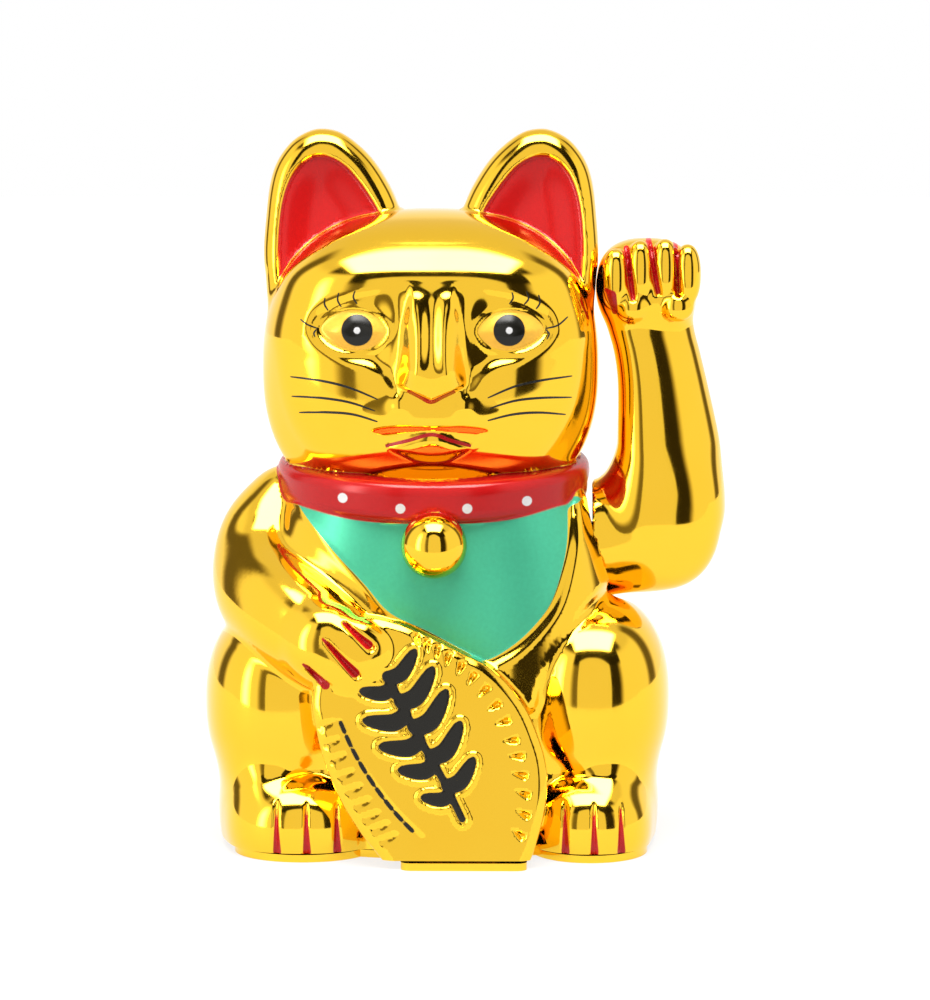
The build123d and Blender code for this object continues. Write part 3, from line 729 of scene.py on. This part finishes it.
def shell_half(name, whole, outside, cuts, paints):
    """Half of a shell, closed at its cuts in millimetres, with paint distances on its vertices."""
    bm = whole.copy()
    for at, normal in cuts:
        cut_flat(bm, at, normal)
    bmesh.ops.recalc_face_normals(bm, faces=bm.faces)
    mesh = bpy.data.meshes.new(name)
    bm.to_mesh(mesh)
    bm.free()

    p = read(mesh.vertices, "co", 3).T.copy()
    normals = gradient(outside, p, 0.06)
    normals /= np.maximum(np.linalg.norm(normals, axis=0), 1e-6)
    depth = in_pieces(outside, p)
    normals[:, depth < -WALL / 2] *= -1
    custom = normals.T[read(mesh.loops, "vertex_index")]
    caps = read(mesh.polygons, "material_index")
    mesh.polygons.foreach_set("use_smooth", caps == 0)
    loops = read(mesh.polygons, "loop_total")
    flat = np.repeat(read(mesh.polygons, "normal", 3), loops, axis=0)
    off = (custom * flat).sum(1) < 0.3
    custom = np.where((np.repeat(caps, loops) > 0)[:, None] | off[:, None], flat, custom)
    for paint, distance in paints.items():
        layer = mesh.attributes.new(paint, "FLOAT", "POINT")
        layer.data.foreach_set("value", distance(p).astype(np.float32))
    mesh.polygons.foreach_set("material_index", np.zeros(len(mesh.polygons), np.int32))
    mesh.vertices.foreach_set("co", (p.T * MM).ravel())
    mesh.update()
    mesh.normals_split_custom_set(custom)
    return add_object(name, mesh)


# ---- thin painted lines, as strips on the face ----
def on_front(xz):
    """Points on the body's front, straight behind (x, z) points, and the surface normals there."""
    x, z = np.array(xz).T
    near, far = np.full(len(x), -60.0), np.full(len(x), 0.0)
    depths = np.arange(-60, 0, 1.0)
    for y in depths[::-1]:
        hit = body_outside(np.stack([x, np.full(len(x), y), z])) < 0
        near, far = np.where(hit, y - 1, near), np.where(hit, y, far)
    for _ in range(14):
        y = (near + far) / 2
        hit = body_outside(np.stack([x, y, z])) < 0
        near, far = np.where(hit, near, y), np.where(hit, y, far)
    p = np.stack([x, far, z])
    normal = gradient(body_outside, p, 0.06)
    return p.T, (normal / np.linalg.norm(normal, axis=0)).T


def face_strips(name, strokes, material):
    """Painted lines that taper to both ends: (points, half width at the middle, half width at the ends)."""
    verts, faces = [], []
    for points, middle, end in strokes:
        line = smooth_line(points, False, 8)
        way = np.gradient(line, axis=0)
        way /= np.linalg.norm(way, axis=1)[:, None]
        side = np.stack([-way[:, 1], way[:, 0]], 1)
        t = np.linspace(0, 1, len(line))
        half = (end + (middle - end) * np.sin(math.pi * t) ** 0.6)[:, None]
        rows = []
        for edge, lift in ((1, 0.13), (-1, 0.13), (-1, -0.15), (1, -0.15)):
            p, normal = on_front(line + side * half * edge)
            rows.append(p + normal * lift)
        base = len(verts)
        verts += np.stack(rows, 1).reshape(-1, 3).tolist()
        for i in range(len(line) - 1):
            for k in range(4):
                a, b = base + 4 * i + k, base + 4 * i + (k + 1) % 4
                faces.append((a, b, b + 4, a + 4))
        last = base + 4 * (len(line) - 1)
        faces += [(base + 3, base + 2, base + 1, base), (last, last + 1, last + 2, last + 3)]
    mesh = bpy.data.meshes.new(name)
    mesh.from_pydata((np.array(verts) * MM).tolist(), [], faces)
    bm = bmesh.new()
    bm.from_mesh(mesh)
    bmesh.ops.recalc_face_normals(bm, faces=bm.faces)
    bm.to_mesh(mesh)
    bm.free()
    mesh.materials.append(material)
    return add_object(name, mesh)


WHISKERS = [[(-37.7, 128.5), (-30, 127.9), (-22, 126.2), (-14.1, 123)],
            [(-37.4, 123.2), (-30, 123.2), (-22, 122.2), (-14.8, 119.9)],
            [(-35.4, 118.9), (-28.5, 119.3), (-21, 118.9), (-14.2, 117)],
            [(15.1, 123.4), (22.5, 126.5), (30, 128), (37.6, 128.7)],
            [(15.6, 120.6), (22.5, 122.6), (30, 123.2), (37.5, 122.9)],
            [(15.1, 117.3), (22, 118.9), (29, 119.2), (35.9, 118.3)]]
LASHES = [[(-27.4, 146.4), (-28.3, 148), (-28.2, 149.8)], [(-23.9, 147.4), (-24.8, 149.2), (-24.5, 151.2)],
          [(-19.6, 148.2), (-20.6, 150), (-20.1, 151.8)], [(-30.2, 141.6), (-32.8, 142.6), (-34.8, 144)],
          [(-30.5, 141.4), (-31.2, 140.4), (-30.9, 139.4)],
          [(20.8, 148.2), (21.8, 149.8), (21.5, 151.4)], [(24.7, 148), (25.9, 149.6), (25.3, 151.6)],
          [(27.9, 146.8), (28.9, 148.4), (28.6, 150.6)], [(30.4, 141.6), (33.6, 142.4), (36.4, 144.6)],
          [(30.4, 141.4), (31.4, 140.2), (30.8, 138.8)]]
RED_LINES = [[(-6.2, 125.5), (-3, 123.8), (0.1, 122.4), (3.2, 123.8), (6.5, 125.3)],
             [(-12.2, 110.2), (-6, 111.9), (0.2, 113.6), (5.4, 111.9), (10.6, 110.3)]]
LIP_LINE = [[(-8.8, 108.4), (-5, 106.3), (0.3, 105.5), (5.4, 106.3), (9, 108.4)]]


# ---- paint: signed distances in millimetres, negative where the paint is ----
def red_paint(p):
    x, y, z = p
    ear = np.where((z > 140) & (y < 6), EAR_PANEL(np.abs(x - EARS_X), z), 9)
    ear = np.maximum(ear, 0.7 * (in_pieces(ear_field, p) - in_pieces(head_field, p)))
    collar = np.abs(in_pieces(collar_field, p)) - 0.4
    return np.minimum(np.minimum(ear, collar), drops(p, TOE_DROPS + HAND_DROPS))


# Painted drops seen from the front: (start, end, half widths there, how far back)
TOE_DROPS = [((t, 14), (t + 0.2, 2.8), 0.3, 1.1, -40) for t in TOES]
HAND_DROPS = [((-22.8, 64.9), (-16.2, 59.4), 0.4, 1.25, -36), ((-28.2, 61), (-19.8, 52), 0.4, 1.35, -36),
              ((-33.4, 53.9), (-27.6, 48.4), 0.4, 1.2, -36)]
FINGER_DROPS = [((52.5, 162), (54.2, 148.7), 0.85, 0.75, -2), ((58.6, 164), (61, 150.2), 0.85, 0.7, -2),
                ((65.8, 162.8), (66.6, 150.2), 0.8, 0.25, -2), ((48.4, 149.6), (49.4, 145), 1.3, 0.8, -2),
                ((47, 151), (48.4, 149.6), 0.6, 1.2, -2)]


def drops(p, strokes):
    best = np.full(p.shape[1], 9.0)
    for a, b, wide_a, wide_b, back in strokes:
        away, t = segment_distance(p[0], p[2], a, b)
        best = np.minimum(best, np.where(p[1] < back, away - (wide_a + (wide_b - wide_a) * t), 9))
    return best


def green_paint(p):
    bib = np.where(p[1] < -6, BIB_EDGE(p[0], p[2]), 9)
    return np.maximum(bib, np.maximum(0.8 - in_pieces(paw_field, p), column(p, TORSO, 2.5) - 2.2))


def eye_paint(p):
    return np.where((p[1] < -20) & (p[2] > 120), FACE_EYE(np.abs(p[0] - FACE_X), p[2]) + 0.5, 9)


def pupil_distance(p, radius):
    away = np.hypot(np.abs(p[0] - PUPILS_X) - PUPIL_AT[0], p[2] - PUPIL_AT[1])
    return np.where(p[1] < -20, away - radius, 9)


def ink_paint(p):
    x, depth, z = coin_axes(p)
    coin = np.where(np.abs(depth + 0.2) < 2.2, COIN_INK(x, z), 9)
    return np.minimum(coin, pupil_distance(p, 4.2))


def dot_paint(p):
    best = pupil_distance(p, 0.9)
    for x, z in COLLAR_DOTS:
        best = np.minimum(best, np.where(p[1] < -20, np.hypot(p[0] - x, p[2] - z) - 1.35, 9))
    return best


FACE_EYE = Drawing((0, 128), (40, 154), 0.3, lambda x, z: outline_distance(x, z, EYE))
COLLAR_DOTS = [(-23.7, 96.3), (-8.1, 94), (9.7, 94), (25.6, 95.4)]


# ---- materials ----
def new_material(name):
    material = bpy.data.materials.new(name)
    material.use_nodes = True
    nodes = material.node_tree.nodes
    nodes.clear()
    out = nodes.new("ShaderNodeOutputMaterial")
    shader = nodes.new("ShaderNodeBsdfPrincipled")
    material.node_tree.links.new(shader.outputs[0], out.inputs[0])
    return material, nodes, material.node_tree.links, shader


def noise(nodes, links, scale, detail=2.0, space="Object"):
    where_at = nodes.new("ShaderNodeTexCoord")
    texture = nodes.new("ShaderNodeTexNoise")
    texture.inputs["Scale"].default_value = scale
    texture.inputs["Detail"].default_value = detail
    links.new(where_at.outputs[space], texture.inputs["Vector"])
    return texture.outputs["Fac"]


def remap(nodes, links, source, low, high, to_low, to_high, smooth=False):
    node = nodes.new("ShaderNodeMapRange")
    if smooth:
        node.interpolation_type = "SMOOTHSTEP"
    node.inputs["From Min"].default_value = low
    node.inputs["From Max"].default_value = high
    node.inputs["To Min"].default_value = to_low
    node.inputs["To Max"].default_value = to_high
    links.new(source, node.inputs["Value"])
    return node.outputs["Result"]


def feed(links, value, socket):
    """Links a node's output to the socket, or sets a number or a colour on it."""
    if isinstance(value, tuple):
        socket.default_value = (*value, 1)
    elif isinstance(value, (int, float)):
        socket.default_value = value
    else:
        links.new(value, socket)


def mix(kind, nodes, links, factor, a, b):
    node = nodes.new("ShaderNodeMix")
    node.data_type = kind
    links.new(factor, node.inputs["Factor"])
    feed(links, a, node.inputs["A"])
    feed(links, b, node.inputs["B"])
    return node.outputs["Result"]


def mix_colour(*wires):
    return mix("RGBA", *wires)


def mix_value(*wires):
    return mix("FLOAT", *wires)


GOLD = (1.0, 0.63, 0.05)


def gold_material(name, paints=()):
    """Mirror gold plating, with painted areas where a vertex distance is below zero: (attribute, colour,
    metallic, roughness)."""
    material, nodes, links, shader = new_material(name)
    patchy = noise(nodes, links, 60)
    colour = mix_colour(nodes, links, patchy, GOLD, (1.0, 0.60, 0.04))
    roughness = remap(nodes, links, noise(nodes, links, 240, 3), 0.3, 0.8, 0.07, 0.1)
    metallic = 1.0
    for attribute, paint, metal, rough in paints:
        source = nodes.new("ShaderNodeAttribute")
        source.attribute_name = attribute
        factor = remap(nodes, links, source.outputs["Fac"], -0.12, 0.12, 1, 0)
        grain = mix_colour(nodes, links, noise(nodes, links, 900, 1), paint, tuple(v * 0.86 for v in paint))
        colour = mix_colour(nodes, links, factor, colour, grain)
        roughness = mix_value(nodes, links, factor, roughness, rough)
        metallic = mix_value(nodes, links, factor, metallic, metal)
    shader.inputs["Specular IOR Level"].default_value = 0.35
    links.new(colour, shader.inputs["Base Color"])
    links.new(roughness, shader.inputs["Roughness"])
    feed(links, metallic, shader.inputs["Metallic"])
    return material


def plain_material(name, colour, metallic, rough_low, rough_high, scale=300):
    material, nodes, links, shader = new_material(name)
    spots = noise(nodes, links, scale)
    speckled = mix_colour(nodes, links, spots, colour, tuple(v * 0.85 for v in colour))
    links.new(speckled, shader.inputs["Base Color"])
    links.new(remap(nodes, links, spots, 0.3, 0.7, rough_low, rough_high), shader.inputs["Roughness"])
    shader.inputs["Metallic"].default_value = metallic
    return material


# ---- build ----
RED, GREEN, AMBER = (0.45, 0.006, 0.007), (0.066, 0.48, 0.29), (0.92, 0.5, 0.05)
SILVER, INK = (0.68, 0.68, 0.7), (0.006, 0.0055, 0.004)
body_gold = gold_material("plated_body", [
    ("green", GREEN, 0.5, 0.36), ("red", RED, 0.1, 0.2), ("eye", AMBER, 0.3, 0.25),
    ("ink", INK, 0.0, 0.2), ("dot", SILVER, 0.3, 0.3)])
arm_gold = gold_material("plated_arm", [("red", RED, 0.1, 0.2)])
plain_gold = gold_material("plated_plain")


def body_detail(p):
    """Where the body's relief is fine."""
    x, y, z = p
    face = (y < -24) & (z > 104.5) & (z < 155) & (np.abs(x - FACE_X) < 33)
    coin = (y < -44) & (z < 66) & (x > -32) & (x < 32)
    toes = (y < -32) & (z < 19)
    hand = (y < -38) & (z > 45) & (z < 68) & (x < -8)
    collar = (y < -25) & (z > 90) & (z < 104.5)
    bib = (y < -24) & (z > 50) & (z < 92) & (np.abs(BIB_EDGE(x, z) - 1.2) < 2.6)
    ear = (y < 0) & (z > 150) & (np.abs(EAR_PANEL(np.abs(x - EARS_X), z)) < 2.4)
    return face | coin | toes | hand | collar | bib | ear


def hand_detail(p):
    return (p[1] < -2) & (p[2] > 143)


body = shell_mesh(body_skin, body_lining, (-66, -62, -6), (66, 48, 198), body_detail, BODY_BORE, BODY_BORE_X)
body_paints = {"red": red_paint, "green": green_paint, "eye": eye_paint, "ink": ink_paint, "dot": dot_paint}
for name, side in (("front_shell", -1), ("back_shell", 1)):
    cuts = [((0, 0, SHELL_Z), (0, 0, -1)), ((0, SEAM_GAP * side, 0), (0, -side, 0))]
    shell = shell_half(name + "_plated", body, body_skin, cuts, body_paints)
    shell.data.materials.append(body_gold)
    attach(shell, "body")
    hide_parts(name)
body.free()

arm = shell_mesh(arm_skin, arm_lining, (40, -20, 62), (84, 20, 168), hand_detail, ARM_BORE, ARM_BORE_X)
arm_paints = {"red": lambda p: drops(p, FINGER_DROPS)}
for name, side in (("arm_front_half", -1), ("arm_back_half", 1)):
    cuts = [((0, SEAM_GAP * side, 0), (0, -side, 0))]
    half = shell_half(name + "_plated", arm, arm_skin, cuts, arm_paints)
    half.data.materials.append(arm_gold)
    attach(half, "arm")
    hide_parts(name)
arm.free()

black_paint = plain_material("black_paint", INK, 0.0, 0.2, 0.35, 900)
red_line_paint = plain_material("red_line_paint", RED, 0.1, 0.2, 0.3, 900)
black_lines = [(points, 0.31, 0.12) for points in WHISKERS] + [(points, 0.23, 0.1) for points in LASHES]
red_lines = [(points, 0.5, 0.4) for points in RED_LINES] + [(points, 0.22, 0.12) for points in LIP_LINE]
for name, strokes, material in (("whiskers_and_lashes", black_lines, black_paint),
                                ("nose_and_lip_lines", red_lines, red_line_paint)):
    lines = face_strips(name, strokes, material)
    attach(lines, "body")

CARRIED = {
    "steel": (("axle", "axle_clip", "grub_screw", "counterweights", "frame_screws", "base_screws",
               "contact_spring", "negative_contact", "positive_contact", "board_screws", "magnet"),
              (0.6, 0.6, 0.6), 1.0, 0.2, 0.35),
    "brass": (("inner_bush", "outer_bush"), (0.72, 0.5, 0.2), 1.0, 0.2, 0.35),
    "black_plastic": (("pendulum", "coil_bobbin", "transistor", "capacitor"),
                      (0.03, 0.03, 0.03), 0.0, 0.35, 0.5),
    "white_plastic": (("arm_hub", "thrust_washer", "pivot_frame"), (0.8, 0.8, 0.78), 0.0, 0.35, 0.5),
    "board": (("circuit_board",), (0.05, 0.2, 0.09), 0.0, 0.3, 0.45),
    "copper": (("coil_winding",), (0.75, 0.3, 0.12), 1.0, 0.3, 0.45),
    "cell_jacket": (("battery_cell",), (0.1, 0.14, 0.2), 0.3, 0.3, 0.4),
    "red_sleeve": (("red_wire",), (0.6, 0.03, 0.02), 0.0, 0.4, 0.5),
    "black_sleeve": (("black_wire",), (0.02, 0.02, 0.02), 0.0, 0.4, 0.5),
    "door_plastic": (("battery_door",), (0.6, 0.42, 0.12), 0.2, 0.35, 0.5),
}
for name, (parts, colour, metallic, rough_low, rough_high) in CARRIED.items():
    material = plain_material(name, colour, metallic, rough_low, rough_high)
    for part in parts:
        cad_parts[part].data.materials.clear()
        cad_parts[part].data.materials.append(material)
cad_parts["base_plate"].data.materials.clear()
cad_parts["base_plate"].data.materials.append(plain_gold)


# ---- floor, light and camera ----
FLOOR_FRONT = -0.31


def floor():
    """A pale sweep that ends in front of the figurine, lit evenly enough to look white."""
    mesh = bpy.data.meshes.new("floor")
    mesh.from_pydata([(-6, FLOOR_FRONT, 0), (6, FLOOR_FRONT, 0), (6, 6, 0), (-6, 6, 0)], [], [(0, 1, 2, 3)])
    obj = add_object("floor", mesh)
    material, _, _, shader = new_material("floor_white")
    shader.inputs["Base Color"].default_value = (0.1, 0.1, 0.1, 1)
    shader.inputs["Roughness"].default_value = 0.8
    shader.inputs["Emission Color"].default_value = (1, 1, 1, 1)
    shader.inputs["Emission Strength"].default_value = 0.8
    mesh.materials.append(material)


def studio():
    """Bright walls, a dark gap in front with a pale card in it, soft boxes overhead and at the sides."""
    world = bpy.data.worlds.new("studio")
    bpy.context.scene.world = world
    world.use_nodes = True
    nodes, links = world.node_tree.nodes, world.node_tree.links
    nodes.clear()
    out = nodes.new("ShaderNodeOutputWorld")
    seen, lit = (nodes.new("ShaderNodeBackground") for _ in range(2))
    either = nodes.new("ShaderNodeMixShader")
    path = nodes.new("ShaderNodeLightPath")
    links.new(path.outputs["Is Camera Ray"], either.inputs["Fac"])
    links.new(lit.outputs[0], either.inputs[1])
    links.new(seen.outputs[0], either.inputs[2])
    links.new(either.outputs[0], out.inputs[0])
    seen.inputs["Color"].default_value = (1, 1, 1, 1)

    coords = nodes.new("ShaderNodeTexCoord")
    split = nodes.new("ShaderNodeSeparateXYZ")
    links.new(coords.outputs["Generated"], split.inputs[0])

    def math_node(kind, a, b=None):
        node = nodes.new("ShaderNodeMath")
        node.operation = kind
        feed(links, a, node.inputs[0])
        if b is not None:
            feed(links, b, node.inputs[1])
        return node.outputs[0]

    x, y, z = split.outputs
    front = math_node("MULTIPLY", y, -1)
    level = math_node("SQRT", math_node("ADD", math_node("MULTIPLY", x, x), math_node("MULTIPLY", y, y)))
    degrees = 180 / math.pi
    # azimuth is 0 in front and grows to the viewer's right; across and ahead lie on a level plane overhead
    azimuth = math_node("MULTIPLY", math_node("ARCTAN2", x, front), degrees)
    height = math_node("MULTIPLY", math_node("ARCTAN2", z, level), degrees)
    across = math_node("DIVIDE", x, math_node("MAXIMUM", z, 0.01))
    ahead = math_node("DIVIDE", front, math_node("MAXIMUM", z, 0.01))

    def band(source, start, end, soft, soft_end=None):
        soft_end = soft if soft_end is None else soft_end
        up = remap(nodes, links, source, start - soft, start + soft, 0, 1, True)
        down = remap(nodes, links, source, end - soft_end, end + soft_end, 1, 0, True)
        return math_node("MULTIPLY", up, down)

    bow = math_node("MULTIPLY", math_node("MULTIPLY", azimuth, azimuth), -0.018)
    arch = math_node("SUBTRACT", height, bow)
    aside = math_node("ABSOLUTE", azimuth)
    value = mix_value(nodes, links, band(height, 40, 92, 8), 1.06, 0.85)
    # each panel, over the one before: a direction and its band, another and its band, and the brightness
    for first, first_band, second, second_band, bright in (
            (azimuth, (-105, -31, 4, 1.5), height, (-90, 52, 6), 1.08),
            (azimuth, (-61, -51, 7), height, (-12, 34, 12), 10.0),
            (azimuth, (50, 104, 1.5, 4), height, (-90, 46, 6), 1.04),
            (aside, (108, 126, 5), height, (-90, 60, 6), 0.15),
            (aside, (-10, 66, 6), height, (50, 66, 4), 0.03),
            (azimuth, (20, 46, 2, 6), height, (-90, 60, 3), 0.03),
            (azimuth, (-30, -10, 5), height, (-90, 60, 3), 0.2),
            (azimuth, (-31, 50, 1.5), height, (34, 60, 3), 0.015),
            (azimuth, (-19, 25, 0.6), arch, (-90, 46, 1.5), 0.93),
            (across, (-0.42, 0.42, 0.07), ahead, (0.02, 0.62, 0.06), 17.0)):
        mask = math_node("MULTIPLY", band(first, *first_band), band(second, *second_band))
        value = mix_value(nodes, links, mask, value, bright)
    white = remap(nodes, links, value, 0, 1, 0, 1)
    colour = mix_colour(nodes, links, white, (1.0, 0.85, 0.6), (1.0, 0.99, 0.96))
    links.new(colour, lit.inputs["Color"])
    soft = math_node("MINIMUM", value, 3.0)      # matt paint is lit more gently than the mirror plating shows
    links.new(mix_value(nodes, links, path.outputs["Is Diffuse Ray"], value, soft), lit.inputs["Strength"])


CAMERA_TARGET = Vector((8.57, 0, 92.34)) * MM
CAMERA_DISTANCE = 1.1
CAMERA_ELEVATION, CAMERA_AZIMUTH = 6, 0.8
VIEW_WIDTH = 0.2755                 # how wide the picture is at the target
SENSOR_WIDTH = 36


def camera():
    data = bpy.data.cameras.new("camera")
    obj = add_object("camera", data)
    data.sensor_width = SENSOR_WIDTH
    data.lens = SENSOR_WIDTH * CAMERA_DISTANCE / VIEW_WIDTH
    elevation, azimuth = math.radians(CAMERA_ELEVATION), math.radians(CAMERA_AZIMUTH)
    level = math.cos(elevation)
    back = Vector((math.sin(azimuth) * level, -math.cos(azimuth) * level, math.sin(elevation)))
    obj.location = CAMERA_TARGET + back * CAMERA_DISTANCE
    obj.rotation_mode = "QUATERNION"
    obj.rotation_quaternion = (-back).to_track_quat("-Z", "Y")
    data.clip_start, data.clip_end = 0.01, 100
    bpy.context.scene.camera = obj


floor()
studio()
camera()
bpy.context.scene.view_settings.view_transform = "Standard"
